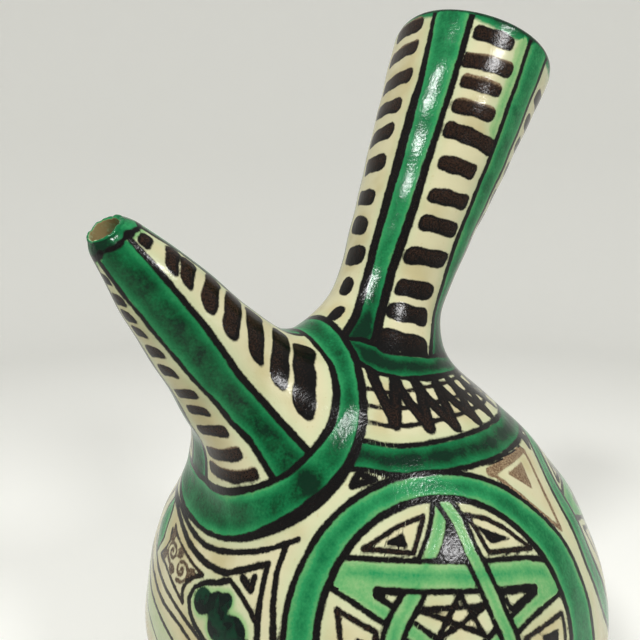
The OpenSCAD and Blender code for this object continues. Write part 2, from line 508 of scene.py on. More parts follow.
class Sheet:
    """Paint at a number of points: the distance to the nearest stroke of each kind, negative inside it"""

    FAR = 40.0

    def __init__(self, count):
        self.ink = np.full(count, self.FAR)
        self.tone = np.full(count, 0.5)
        self.green = np.full(count, self.FAR)
        self.deep = np.full(count, 0.5)
        self.bare = np.full(count, self.FAR)

    def lay_ink(self, gap, tone):
        near = gap < self.ink
        self.ink = np.where(near, gap, self.ink)
        self.tone = np.where(near, tone, self.tone)

    def lay_green(self, gap, deep):
        near = gap < self.green
        self.green = np.where(near, gap, self.green)
        self.deep = np.where(near, deep, self.deep)


class Canvas(Sheet):
    """Paint on the points of one piece"""

    LEAST_SLOPE = 0.3

    def __init__(self, points):
        super().__init__(len(points))
        self.p = points
        self.n = skin_normal(points)

    def across(self, field):
        """Distance over the skin to where a field is zero"""
        g = slope_of(field, self.p)
        g = g - (g * self.n).sum(-1, keepdims=True) * self.n
        return field(self.p) / np.maximum(np.linalg.norm(g, axis=-1), self.LEAST_SLOPE)

    def press(self, sheet, where):
        """Takes over the paint of a sheet that covers some of the points"""
        wide = Sheet(len(where))
        for name in ("ink", "tone", "green", "deep"):
            getattr(wide, name)[where] = getattr(sheet, name)
        self.lay_ink(wide.ink, wide.tone)
        self.lay_green(wide.green, wide.deep)


def only(where, gap):
    return np.where(where, gap, Sheet.FAR)


def polyline_gap(x, y, points, half, closed=False):
    """Distance to a brush stroke of some half width along points"""
    points = [np.array(q, float) for q in points]
    if closed:
        points.append(points[0])
    best = np.full(x.shape, Sheet.FAR)
    for a, b in zip(points[:-1], points[1:]):
        d = b - a
        s = np.clip(((x - a[0]) * d[0] + (y - a[1]) * d[1]) / max(d @ d, TINY), 0, 1)
        best = np.minimum(best, np.hypot(x - a[0] - s * d[0], y - a[1] - s * d[1]) - half)
    return best


def polygon_gap(x, y, points):
    """Signed distance to a filled shape with corners in order"""
    edge = polyline_gap(x, y, points, 0.0, closed=True)
    inside = np.zeros(x.shape, bool)
    for (ax, ay), (bx, by) in zip(points, list(points[1:]) + [points[0]]):
        crosses = (ay > y) != (by > y)
        inside ^= crosses & (x < ax + (y - ay) * (bx - ax) / (by - ay if by != ay else TINY))
    return np.where(inside, -edge, edge)


# Painting of the neck: green stripes by the turns of their left and right borders at heights above the root
NECK_STRIPES = (
    (((118, -165), (95, -160), (72, -160.5), (50, -159.3), (28, -158.5), (16, -155), (4, -149.5)),
     ((118, -139), (96, -136.7), (60, -135.5), (47, -134), (24, -134), (12, -131), (0, -128))),
    (((118, -95.5), (103, -93), (91, -92), (80, -89), (65, -85.5), (50, -83.3), (41, -82.5), (35, -79),
      (27, -74), (18, -71), (12, -72), (6, -76), (0, -80)), ((118, -74.5), (60, -60), (0, -47))),
    (((118, -27), (0, 0)), ((118, -4), (0, 24))),
    (((118, 44), (0, 63)), ((118, 67), (0, 88))),
    (((118, 117), (0, 127)), ((118, 140), (0, 151))))
# Half widths of the black lines along the front stripe and along the others, by height
FRONT_LINES = (((0, 1.7), (40, 1.8), (65, 2.05), (84, 1.9), (96, 1.4), (118, 0.9)),
               ((0, 1.7), (40, 1.8), (60, 1.5), (80, 1.25), (118, 1.2)))
OTHER_LINES = (((0, 1.3), (118, 0.95)), ((0, 1.3), (118, 0.95)))
# Dashes in the columns between the stripes: height and turn of both ends, half thickness and tone
DASHES_FRONT = ((113.4, -135, 114.6, -106, 2.9, 0.55), (102.6, -136, 106.2, -100, 3.2, 0.3),
                (95.4, -132.5, 97.5, -102, 2.9, 0.25), (86.2, -132.5, 88.6, -99.5, 3.0, 0.3),
                (77.5, -132.5, 78.7, -88, 3.2, 0.45), (65.6, -128, 67.8, -94.5, 3.1, 0.4),
                (53.3, -126.5, 57.2, -89, 3.1, 0.5), (43.3, -126, 46.5, -87, 3.1, 0.6),
                (30.6, -128.5, 35.2, -84, 3.4, 0.65), (18.9, -126, 22.4, -84, 3.4, 0.7),
                (9.8, -127, 12.8, -82.5, 3.5, 0.75), (-0.9, -127.5, 1.9, -82, 3.9, 0.8))
# The upper dashes of the left column get lighter brown tones, partly for their thin brown paint and partly
# as painted sheen where the neck turns away from view
DASHES_LEFT = (
    (118.4, -204, 117.4, -172.5, 3.2, 0.3), (108.2, -206, 108.2, -171.5, 3.2, 0.3),
    (96.0, -206, 96.4, -168.5, 3.1, 0.35), (85.4, -206, 84.8, -170.5, 3.0, 0.4),
    (73.4, -206, 75.4, -172, 3.2, 0.5), (62.4, -204, 62.9, -171.5, 3.4, 0.55),
    (50.2, -203, 48.9, -173, 3.1, 0.65), (39.4, -202, 37.6, -172.5, 3.7, 0.75),
    (26.2, -198, 27.0, -166, 3.9, 0.8), (14.6, -184, 13.7, -166, 3.7, 0.85),
    (2.2, -173, 3.3, -160.5, 3.3, 0.85))
BACK_DASHES = (111, 101.5, 91.5, 81, 70.5, 60, 49.5, 39.5, 29, 18.5, 7.5)
DASH_MARGIN = 6.0
BACK_SLANT, BACK_HALF = 1.2, 3.1
# Height below which the green pools
NECK_POOL_T = 28.0
RIM_T = 117.4
LINE_TONE = 0.85
# Brush dashes: rounding of their corners, unevenness, and paint that settled downwards
DASH_CORNER, DASH_UNEVEN, DASH_SETTLE = 0.75, 0.06, 0.25
# Thin green that ran out beside the right-hand stripe: where it starts, its middle and its half width
RUN_T, RUN_MIDDLE, RUN_HALF = 84, 2.6, 2.4
RIM_INSIDE_T = 111.5
RIM_DEEP = 0.95


def flipped(points):
    return tuple((t, -turn) for t, turn in points)


def lay_stripe(canvas, chart, borders, lines, deep):
    t, turn, arc = chart
    from_left = turned(turn - follow(borders[0], t)) * arc
    from_right = turned(follow(borders[1], t) - turn) * arc
    canvas.lay_green(np.maximum(-from_left, -from_right), deep)
    canvas.lay_ink(np.abs(from_left) - follow(lines[0], t), LINE_TONE)
    canvas.lay_ink(np.abs(from_right) - follow(lines[1], t), LINE_TONE)


def lay_dash(canvas, chart, dash, bow=0.0):
    """A brush dash between two heights and turns, with rounded ends; its paint settles in the lower half"""
    t, turn, arc = chart
    t0, turn0, t1, turn1, half, tone = dash
    x = turned(turn - (turn0 + turn1) / 2) * arc
    reach = (turn1 - turn0) / 2 * arc
    along = np.clip(x / np.maximum(reach, 0.5), -1.2, 1.2)
    y = t - (t0 + t1) / 2 - (t1 - t0) / 2 * along - bow * abs(t1 - t0) * (1 - along ** 2)
    corner = DASH_CORNER * half
    past_x = np.abs(x) - reach + corner
    past_y = np.abs(y) - half * (1 + DASH_UNEVEN * np.sin(x * 0.7 + t0)) + corner
    outside = np.hypot(np.maximum(past_x, 0), np.maximum(past_y, 0))
    gap = outside + np.minimum(np.maximum(past_x, past_y), 0) - corner
    canvas.lay_ink(gap, np.clip(tone - DASH_SETTLE * y / half, 0, 1))


def back_dash(before, after, height):
    """A dash on the far side, where chance moves its height, slant and tone"""
    left = float(follow(before[1], height)) + DASH_MARGIN
    right = float(follow(after[0], height)) - DASH_MARGIN
    up, tilt, tone = rng.uniform(-1, 1, 3)
    level = height + 0.8 * up
    return level - BACK_SLANT, left, level + BACK_SLANT + tilt, right, BACK_HALF, 0.5 + 0.2 * tone


def paint_neck(canvas):
    chart = NECK.chart(canvas.p)
    t, turn, arc = chart
    for borders in NECK_STRIPES:
        lines = FRONT_LINES if borders is NECK_STRIPES[0] else OTHER_LINES
        lay_stripe(canvas, chart, borders, lines, deep=0.5 + 0.6 * rise(t, NECK_POOL_T, 0))
    for dash in DASHES_FRONT + DASHES_LEFT:
        lay_dash(canvas, chart, dash)
    for before, after in zip(NECK_STRIPES[1:4], NECK_STRIPES[2:5]):
        for height in BACK_DASHES:
            lay_dash(canvas, chart, back_dash(before, after, height))
    run = np.abs(turned(turn - follow(NECK_STRIPES[1][0], t)) * arc + RUN_MIDDLE) - RUN_HALF
    canvas.lay_green(np.maximum(run, RUN_T + ripple(turn, (4, 9, 0)) - t), deep=0.0)
    rim = RIM_T - hill(turn, middle=-100, width=38, height=1.9) + ripple(turn, (0.5, 7, 0)) + rim_lift(turn)
    canvas.lay_green(rim - t, RIM_DEEP)
    paint_collars(canvas)


def paint_neck_inside(canvas):
    t, turn, _ = NECK.unroll(canvas.p)
    edge = RIM_INSIDE_T + ripple(turn, (1.5, 3, 0), (0.8, 8, math.radians(50)))
    canvas.lay_green(edge - t, RIM_DEEP)


# Lines along the lower and the upper border of the neck's collar: half width, waves around it and tone
NECK_COLLAR_LINES = ((1.1, 7, 0.9), (0.9, 5, LINE_TONE))
COLLAR_MARGIN = 6.0
# Half widths of the lines along the spout's collar, and the height on the spout's axis above which it lies
SPOUT_EDGE_LINE, SPOUT_ROOT_LINE = 1.4, 1.2
SPOUT_COLLAR_T = -60


def paint_collars(canvas):
    beyond = canvas.across(spout_edge)
    paint_neck_collar(canvas, beyond)
    paint_spout_collar(canvas, beyond)


def paint_neck_collar(canvas, beyond):
    root = canvas.across(neck_root)
    edge = canvas.across(neck_edge)
    on_top = (canvas.p[:, 2] > COLLAR_Z) & (root < COLLAR_MARGIN) & (edge > -COLLAR_MARGIN)
    for seam, (half, waves, tone) in zip((edge, root), NECK_COLLAR_LINES):
        line = np.abs(seam) - half - ripple(azimuth(canvas.p), (0.3, waves, 0))
        canvas.lay_ink(only(on_top, np.maximum(line, beyond)), tone)
    ring = np.maximum(np.maximum(root, -edge), beyond)
    canvas.lay_green(only(on_top, ring), deep=1.05)


def paint_spout_collar(canvas, beyond):
    """Green with a dark streak and a thin stretch; the lower line swells at its sides, not underneath"""
    t, turn, _ = SPOUT.unroll(canvas.p)
    side = np.abs(turn)
    near = t > SPOUT_COLLAR_T
    root = canvas.across(spout_root)
    streak = hill(side, middle=108, width=5, height=0.45)
    thin = hill(side, middle=140, width=22, height=0.3) * rise(root, -7, 0)
    canvas.lay_green(only(near, np.maximum(root, -beyond)), deep=0.7 + streak - thin)
    half = SPOUT_EDGE_LINE + hill(side, middle=106, width=26, height=0.6) + ripple(turn, (0.15, 5, 0))
    half = half - 0.45 * rise(side, 125, 155)
    canvas.lay_ink(only(near, np.abs(beyond) - half), tone=0.95)
    half = SPOUT_ROOT_LINE + ripple(turn, (0.2, 4, 0))
    canvas.lay_ink(only(near, np.abs(root) - half), LINE_TONE)


# Painting of the spout, given as for the neck; its far side mirrors the near one
SPOUT_FRONT = (
    ((76, -157), (70, -152), (67, -149), (64, -146.5), (61, -143.5), (58, -141), (47.5, -139), (37, -134.5),
     (28, -130.5), (18, -127.5), (15, -124.7), (12, -122.3), (2, -120.5)),
    ((76, -79), (70, -82.4), (64, -85.2), (57, -87.3), (51, -89), (45, -90.5), (41, -92.5), (34, -95.6),
     (28, -98.2), (2, -98.8)))
SPOUT_UNDER = (
    ((2, -204), (24, -201), (35, -192), (50, -181)),
    ((2, -178), (24, -175.5), (35, -177), (50, -183)))
SPOUT_BEHIND = (((0, -12), (35, -20), (76, -34)), ((0, 12), (35, 20), (76, 34)))
SPOUT_STRIPES = (SPOUT_FRONT, (flipped(SPOUT_FRONT[1]), flipped(SPOUT_FRONT[0])), SPOUT_UNDER, SPOUT_BEHIND)
SPOUT_LINE_LEFT = ((0, 1.15), (14, 1.1), (30, 0.8), (60, 0.8), (72, 1.0))
SPOUT_LINE_RIGHT = ((0, 1.2), (30, 1.15), (76, 0.95))
SPOUT_BOW = 0.3
FAR_DASH_END = 152
SPOUT_DASHES = (
    (71.9, -75, 72.7, -45, 2.2, 0.5), (61.8, -75, 65.2, -34, 2.55, 0.45),
    (56.3, -74.5, 59.8, -34, 2.7, 0.4), (47.3, -78, 51.0, -28, 3.1, 0.4),
    (38.1, -81.5, 42.8, -26, 3.3, 0.5), (27.1, -80, 34.6, -26, 3.7, 0.6), (17.6, -83, 23.8, -27, 3.5, 0.75),
    (7.7, -87.5, 15.4, -31, 3.65, 0.85), (70.6, -180, 69.0, -157, 1.6, 0.6),
    (64.6, -176, 62.6, -151, 1.8, 0.45), (59.6, -174, 57.4, -152, 1.95, 0.4),
    (54.2, -172, 52.0, -152, 2.05, 0.4), (47.1, -171, 44.9, -147, 2.2, 0.4),
    (40.7, -169, 38.0, -146, 2.0, 0.4), (31.8, -167, 30.3, -139.5, 1.9, 0.35),
    (25.9, -164, 23.2, -140.5, 1.85, 0.35), (18.4, -166, 16.4, -133, 1.9, 0.4),
    (10.2, -171, 10.6, -130.5, 1.9, 0.3), (5.8, -172, 4.9, -126, 1.6, 0.3))
# Black ring behind the tip: height, half width, tilt and its turn, and how far green runs out behind it
TIP_RING_T, TIP_RING_HALF = 76.4, 0.9
TIP_RING_TILT, TIP_RING_TURN = -0.3, -20
TIP_GREEN = 2.2
TIP_DEEP = 0.75
# Glaze chipped off around the hole: turn and depth; below the last height the clay is bare
CHIP_TURN, CHIP_DEPTH = -112, 0.55
BARE_T = 76


def paint_spout(canvas):
    chart = SPOUT.chart(canvas.p)
    t, turn, _ = chart
    for borders in SPOUT_STRIPES:
        lay_stripe(canvas, chart, borders, (SPOUT_LINE_LEFT, SPOUT_LINE_RIGHT), deep=0.84)
    for t0, turn0, t1, turn1, half, tone in SPOUT_DASHES:
        lay_dash(canvas, chart, (t0, turn0, t1, turn1, half, tone), SPOUT_BOW)
        lay_dash(canvas, chart, (t1, -turn1, t0, min(-turn0, FAR_DASH_END), half, tone), SPOUT_BOW)
    level = t - TIP_RING_T - TIP_RING_TILT * np.cos(np.radians(turn - TIP_RING_TURN))
    canvas.lay_green(ripple(turn, (0.5, 3, 0)) - TIP_GREEN - level, deep=0.1)
    past = rise(level, -0.32, 0.48)
    canvas.deep = canvas.deep * (1 - past) + (TIP_DEEP + ripple(turn, (0.25, 2, 0))) * past
    canvas.ink = np.where(level > 0, np.maximum(canvas.ink, level), canvas.ink)
    half = TIP_RING_HALF + ripple(turn, (0.2, 4, 0.6), (0.2, 9, 0), (0.15, 15, 2))
    canvas.lay_ink(np.abs(level + ripple(turn, (0.25, 6, 0))) - half, tone=1.0)
    paint_collars(canvas)


def paint_spout_inside(canvas):
    """Green runs over the lip; the hole's clay is bare, and glaze is chipped off along its near edge"""
    t, turn, r = SPOUT.unroll(canvas.p - HOLE_OFFSET)
    near = rise(np.abs(turned(turn - CHIP_TURN)), 88, 33)
    chip = r - HOLE_R - near * (CHIP_DEPTH + ripple(turn, (0.2, 9, 0), (0.15, 17, 0)))
    canvas.green = np.clip(-6 * chip, -3, 3)
    canvas.deep[:] = TIP_DEEP
    canvas.tone[:] = 1.0
    canvas.bare = np.where(t < BARE_T, -3.0, (r - HOLE_R - 0.05) * 3.0)


# Painting of the body: rings under the neck, by height, half width and tone, and a zigzag by radius
SHOULDER_RINGS = ((166.0, 0.7, 0.35), (161.8, 0.75, 0.4), (157.5, 0.8, 0.45))
BAND_TOP, BAND_LOW = 152.8, 146.1
BAND_LINE = 0.85
TEETH = 26
TOOTH_TOP_R, TOOTH_LOW_R = 34.8, 45.6
TOOTH_TOP_AZ, TOOTH_LOW_AZ = -130.9, -120.6
TOOTH_LIMIT = 126.0
TOOTH_HALVES, TOOTH_LEAN = (2.3, 2.1), 0.92
# Star medallions: azimuths and elevation of their middles, on a globe of the body's radius
MEDALLION_AZ = (-111.4, -37.1, 37.1, 111.4)
MEDALLION_EL = 16.8
RING_MIDDLE = (1.0, 4.0)
OUTER_R, INNER_R = 48.3, 38.4
OUTER_LINE, INNER_LINE = 1.0, 1.15
# The star's five bands from the lowest to the one on top: points along each and its half width
STAR_BANDS = (
    (((-35, 24.5), (-27.5, 19.8), (-23.5, 17), (-19.8, 14.5), (-8, 5), (6, -10), (21, -29)), 2.3),
    (((38, 14.5), (25, 11.6), (19.5, 9.9), (13.8, 7.4), (9.5, 5.5), (-4, -3), (-16, -14), (-27, -25)), 2.2),
    (((1.6, 42), (-1.3, 34.8), (-3.4, 31.3), (-6.3, 27.2), (-12.5, 18.6), (-15.2, 15.4), (-17.5, 12.6),
      (-19.1, 9.8), (-23, -4), (-27, -25)), 2.6),
    (((-38, 26.3), (-24.5, 24.9), (-17, 23.9), (-10, 23), (-4.5, 22.4), (3, 21.6), (11.6, 20.7),
      (17.3, 20.2), (24.5, 19.5), (39, 16)), 3.75),
    (((2.4, 42), (5, 35.6), (5.6, 31.5), (6.3, 27.5), (7.6, 23.3), (8.8, 19.3), (10, 15.3), (11, 11),
      (12.2, 7.4), (16, -8), (21, -29)), 2.4))
STAR_LINE = 0.85
# The level bar, and the bands that it meets at the star's side points: band, side and where the point opens
STAR_BAR = 3
STAR_OPEN = ((0, -1, 23.2), (1, 1, 26.2))
# Brown outlines and black cores between the star's tips, triangles in its arms and the fine star inside
SEGMENTS = (
    ((-24.4, 31.2), (-14.6, 35.8), (-5.2, 38.4), (-10.6, 28.8)),
    ((8.6, 37.2), (14.8, 35.4), (20.6, 32.2), (28.6, 25.3), (12.4, 26.4)),
    ((-33.5, 16.5), (-28, 13.2), (-23.5, 10.8), (-26.2, 2), (-32, -8)),
    ((18, 4), (34, 6.8), (33.6, 0), (28, -14)),
    ((-17, -24), (-1, -13), (12, -26), (-2, -30)))
CORES = (
    ((-17.8, 32.1), (-12.6, 34.4), (-12.1, 30.4)),
    ((11.1, 33.5), (21.2, 29.1), (14, 28.7)),
    ((-29, 9.5), (-26, 8.5), (-28.5, 2)),
    ((24, 3), (31, 3), (28, -5)),
    ((-7, -23.5), (-1, -18), (4, -24)))
ARMS = (
    ((2.7, 34.2), (-2.7, 26.4), (4.0, 25.6)),
    ((-22.6, 20.4), (-15.2, 19.2), (-18.6, 16.2)),
    ((13.0, 16.0), (25.6, 15.2), (15.2, 11.4)),
    ((-22, -10), (-23.5, -18), (-17, -13)),
    ((15.5, -14), (17, -22), (10, -16)))
FINE_STAR = ((0.3, 17.6), (-7.8, 7.6), (7.3, 13.8), (-12.0, 15.2), (5.4, 7.2))
# Corner triangles outside the ring
CORNER_BROWN = ((47.8, 57.2), (22.6, 48.9), (46.8, 27.9))
CORNER_BROWN_IN = ((41.0, 51.4), (30.6, 47.8), (40.2, 42.2))
CORNER_BLACK = ((-22.6, 51.4), (-17.9, 49.6), (-25.2, 48.0))
# Drawn lines, with their half widths and tones, and filled shapes, with their growth and tones
MEDALLION_LINES = ((SEGMENTS, 0.85, 0.35), (ARMS, 0.8, 0.9), ((FINE_STAR,), 0.8, 0.5))
MEDALLION_FILLS = ((CORES, 0.35, 0.8), (ARMS[:1], 0.0, 0.9))
MEDALLION_REACH = 75.0
STAR_DEEP = 0.18
# Height about which the lower corners mirror the upper ones
CORNER_MIRROR = 3.0


def medallion_chart(p, az, el):
    """Flat chart about a middle on the body, in millimetres to the right and up"""
    ahead = direction(az, el)
    right = direction(az + 90, 0)
    d = unit(p - BELLY_Z * UP)
    x, y = d @ right, d @ np.cross(ahead, right)
    ring = np.arccos(np.clip(d @ ahead, -1, 1)) * BODY_R / np.maximum(np.hypot(x, y), TINY)
    return x * ring, y * ring


def paint_star(sheet, x, y, inner):
    for spine, half in STAR_BANDS:
        far = polyline_gap(x, y, spine, 0.0)
        sheet.ink = np.maximum(sheet.ink, half - far)
        sheet.lay_ink(np.maximum(np.abs(far - half) - STAR_LINE, inner), LINE_TONE)
        sheet.lay_green(np.maximum(far - half, inner), STAR_DEEP)
    under_bar = y < follow(STAR_BANDS[STAR_BAR][0], x)
    for band, side, reach in STAR_OPEN:
        over_band = y > follow(STAR_BANDS[band][0], x) - 1.2
        inside = (side * x > reach) & under_bar & over_band & (inner < 0)
        sheet.ink = np.where(inside, Sheet.FAR, sheet.ink)
        sheet.lay_green(only(inside, -2.0), STAR_DEEP)


def paint_corners(sheet, x, y):
    for flip in (1, -1):
        height = CORNER_MIRROR + flip * (y - CORNER_MIRROR)
        sheet.lay_ink(polyline_gap(x, height, CORNER_BROWN, half=0.85, closed=True), tone=0.0)
        sheet.lay_ink(polyline_gap(x, height, CORNER_BROWN[:2], half=1.7), tone=0.0)
        sheet.lay_ink(polygon_gap(x, height, CORNER_BROWN_IN) - 0.3, tone=0.0)
    sheet.lay_ink(polyline_gap(x, y, CORNER_BLACK, half=1.1, closed=True), tone=0.9)


def paint_medallion(canvas, az, mirrored):
    x, y = medallion_chart(canvas.p, az, MEDALLION_EL)
    near = np.hypot(x, y) < MEDALLION_REACH
    if not near.any():
        return
    x, y = (-x if mirrored else x)[near], y[near]
    sheet = Sheet(len(x))
    turn = np.arctan2(y - RING_MIDDLE[1], x - RING_MIDDLE[0])
    out = np.hypot(x - RING_MIDDLE[0], y - RING_MIDDLE[1])
    outer = out - OUTER_R + 1.9 * np.cos(2 * turn - math.radians(160))
    inner = out - INNER_R + 2.6 * np.cos(turn + math.radians(10))
    paint_star(sheet, x, y, inner)
    for shapes, half, tone in MEDALLION_LINES:
        for path in shapes:
            sheet.lay_ink(polyline_gap(x, y, path, half, closed=True), tone)
    for shapes, growth, tone in MEDALLION_FILLS:
        for path in shapes:
            sheet.lay_ink(polygon_gap(x, y, path) - growth, tone)
    sheet.lay_green(np.maximum(outer, -inner), deep=0.48)
    sheet.lay_ink(np.abs(outer) - OUTER_LINE, LINE_TONE)
    sheet.lay_ink(np.abs(inner) - INNER_LINE, LINE_TONE)
    paint_corners(sheet, x, y)
    canvas.press(sheet, near)


# Painting below the spout: strokes by azimuth and height, with half widths and tones
PANEL_LINES = (
    (((152, 125.5), (160, 124.4), (167, 123.7), (173.6, 123.1), (178, 122.7), (182.9, 122.2), (186, 121.8),
      (189.7, 121.6), (194.2, 122.4), (199.6, 124.2), (204.3, 126.1), (208.9, 128.4), (213.2, 130.9),
      (214.3, 131.5)), 0.95, 0.6),
    (((211.6, 129), (211, 125.5), (210.8, 122.5), (211.5, 116.2), (212.7, 109), (214, 96), (218, 80)),
     1.1, 0.6),
    (((155, 123.8), (163, 123), (169, 122.1), (178.1, 120.4), (182, 119.5), (185.8, 118.7), (190.7, 118),
      (195.3, 118), (198.5, 118.5), (201, 120.1), (203.5, 121.6), (206, 123.2), (208.4, 124.4),
      (208.3, 121.8), (208.4, 118.5), (208.5, 115.2), (208.8, 112), (209.4, 108), (211, 94), (215, 79)),
     1.1, 0.6),
    (((199.6, 117.5), (202, 116.4), (204.5, 115), (206.8, 113.2), (208, 111.7)), 0.85, 0.5),
    (((199.7, 117.2), (196.6, 115.3), (193.3, 113.7), (190.7, 111.1), (190.1, 108), (191.1, 105.4),
      (192.4, 103.8), (194.2, 102.5), (197, 101), (201, 99.6), (205, 101), (207.5, 106)), 1.0, 0.65),
    (((172.3, 118.6), (175.4, 117.6), (180.7, 117.0), (186.2, 116.0), (191.4, 114.9)), 0.6, 0.15),
    (((191.8, 114.9), (189.6, 113.4), (187.9, 111.4), (187.1, 108.6), (187.6, 107.1), (188.3, 105.6)),
     0.8, 0.3),
    (((171.7, 117.0), (173.4, 114.3), (173.1, 111.9), (170.9, 108.2), (176.7, 108.6)), 0.65, 0.2),
    (((176.7, 108.6), (181.5, 107.8), (185.2, 106.8), (188.4, 105.4)), 0.65, 0.2),
    (((160, 107), (166.6, 105.7), (171.8, 104.5), (178, 104.2), (183.2, 103.8), (187.2, 103)), 0.8, 0.3),
    (((187.2, 103), (190.3, 102.1), (193.7, 101.1), (195.9, 100.3), (200, 98.2), (207, 96.5)), 0.8, 0.3),
    (((154, 101), (160.1, 100.6), (166.4, 101), (171.8, 101), (176.5, 100.4), (181.1, 100.1)), 0.75, 0.3),
    (((181.1, 100.1), (185, 100), (188.9, 99.5), (192.6, 98.3), (200, 94.5), (208, 92)), 0.75, 0.3),
    (((158, 98), (169.4, 97.2), (175.4, 96.5), (179.2, 95.9), (183, 95.1), (187.3, 93.9), (195, 90)),
     0.7, 0.3),
    (((165, 90.4), (172.9, 89.6), (176.6, 88.4), (179.6, 86.7), (184, 84.5)), 0.5, 0.2),
    (((158, 125), (154, 118), (153, 108), (154, 96), (157, 84)), 1.1, 0.5))
# Curls: azimuth and height of the middle, way round, reach across and up
PANEL_CURLS = ((177.6, 113.4, 1, 5.4, 3.3), (184.3, 112.2, -1, 4.9, 3.5), (173.9, 116.6, -1, 2.6, 2.0),
               (188.4, 113.2, 1, 2.3, 1.8), (173.9, 110.4, 1, 2.6, 1.7), (181.2, 115.6, -1, 2.4, 1.6),
               (180.4, 110.0, 1, 2.6, 1.3))
CURL_STEPS, CURL_TURN = 16, 0.7
# Three-lobed leaf: azimuth, height and radius of the rounds that it flows through
TREFOIL = (
    (194.2, 109.6, 3.9), (198.4, 110.4, 3.9), (200.7, 112.6, 2.3), (200.3, 106.4, 4.7), (204.0, 107.0, 4.2))
# Thin green beyond the outermost line, and the gap that makes it pale
PALE_STRIP = ((158, 96.8), (169.4, 96.2), (175.4, 95.5), (183, 94.1), (187.3, 92.9), (195, 89), (188, 82),
              (179.6, 86.7), (172.9, 89.6), (165, 90.4), (158, 90.8))
PALE_GAP = 0.3
# Tone that stands for green so thick that it is nearly black
GREEN_BLACK = 1.6
HEART = ((203.0, 119.3), (205.9, 117.5), (205.8, 120.5))
LEAF = ((163.0, 122.5), (166.5, 117.5), (168.4, 112.0), (166.5, 106.5), (162.0, 112.0), (160.8, 118.0))
# Flat chart of the panel: its middle, and millimetres to a degree and to a height; then the panel's extent
PANEL_AZ, PANEL_Z, PANEL_WIDE, PANEL_HIGH = 190.0, 110.0, 1.45, 1.13
PANEL_MIDDLE, PANEL_REACH, PANEL_LOW = 184.0, 42.0, 40.0


def panel_point(az, z):
    return (az - PANEL_AZ) * PANEL_WIDE, (z - PANEL_Z) * PANEL_HIGH


def panel_path(points):
    return [panel_point(az, z) for az, z in points]


def curl_path(az, z, way, wide, high):
    x, y = panel_point(az, z)
    steps = [(k / CURL_STEPS, CURL_TURN * k) for k in range(1, CURL_STEPS + 1)]
    return [(x + way * wide * out * math.cos(a), y + high * out * math.sin(a)) for out, a in steps]


def paint_panel(canvas):
    az = azimuth(canvas.p) % 360
    near = (np.abs(az - PANEL_MIDDLE) < PANEL_REACH) & (canvas.p[:, 2] > PANEL_LOW)
    if not near.any():
        return
    x, y = panel_point(az[near], canvas.p[near, 2])
    sheet = Sheet(len(x))
    for points, half, tone in PANEL_LINES:
        sheet.lay_ink(polyline_gap(x, y, panel_path(points), half), tone)
    for curl in PANEL_CURLS:
        sheet.lay_ink(polyline_gap(x, y, curl_path(*curl), half=0.65), tone=0.1)
    sheet.lay_ink(polyline_gap(x, y, panel_path(HEART), half=1.2), tone=0.6)
    leaf = polygon_gap(x, y, panel_path(LEAF)) - 0.8
    sheet.lay_green(leaf, deep=0.5)
    sheet.lay_green(np.maximum(polygon_gap(x, y, panel_path(PALE_STRIP)), PALE_GAP), deep=0.0)
    sheet.lay_ink(np.abs(leaf) - 0.7, tone=0.5)
    lobes = np.full(len(x), Sheet.FAR)
    for az, z, radius in TREFOIL:
        mid_x, mid_y = panel_point(az, z)
        lobes = smooth_min(lobes, np.hypot(x - mid_x, y - mid_y) - radius, blend=1.6)
    sheet.lay_green(lobes - 1.0, deep=0.0)
    sheet.lay_ink(lobes, GREEN_BLACK)
    canvas.press(sheet, near)


# Painting around the base, which no picture shows: two lines, a green band and short upright dashes
LOW_BAND_TOP, LOW_BAND_LOW = 44.0, 37.0
LOW_DASHES = 34
LOW_DASH_Z = (20.0, 31.0)
LOW_DASH_HALF = 2.2
# Height above which rings and zigzag lie, the body's slope there and at the base, and the top of bare clay
RINGS_LOW = 135.0
BAND_SLOPE, LOW_SLOPE = 1.25, 1.15
BARE_Z = 10.5


def paint_band(canvas, level, top, low, slope, deep, half, tone):
    """A green band between two lines"""
    canvas.lay_green(np.maximum(level - top, low - level) * slope, deep)
    for border in (top, low):
        canvas.lay_ink(np.abs(level - border) * slope - half, tone)


def paint_zigzag(canvas, az, r, arc, top):
    down = rise(r, TOOTH_TOP_R, TOOTH_LOW_R)
    beyond = np.maximum(np.maximum(TOOTH_TOP_R - r, r - TOOTH_LOW_R), 0)
    pitch = 360.0 / TEETH
    for k in range(TEETH):
        shift = pitch * k + 1.2 * rng.uniform(-1, 1)
        if abs(turned(TOOTH_LOW_AZ + shift)) > TOOTH_LIMIT:
            continue
        for top_az, half in zip((TOOTH_TOP_AZ, TOOTH_TOP_AZ + pitch), TOOTH_HALVES):
            middle = top_az + (TOOTH_LOW_AZ - top_az) * down + shift
            gap = np.hypot(turned(az - middle) * arc * TOOTH_LEAN, beyond) - half
            canvas.lay_ink(only(top, gap), tone=0.9 - 0.35 * down)


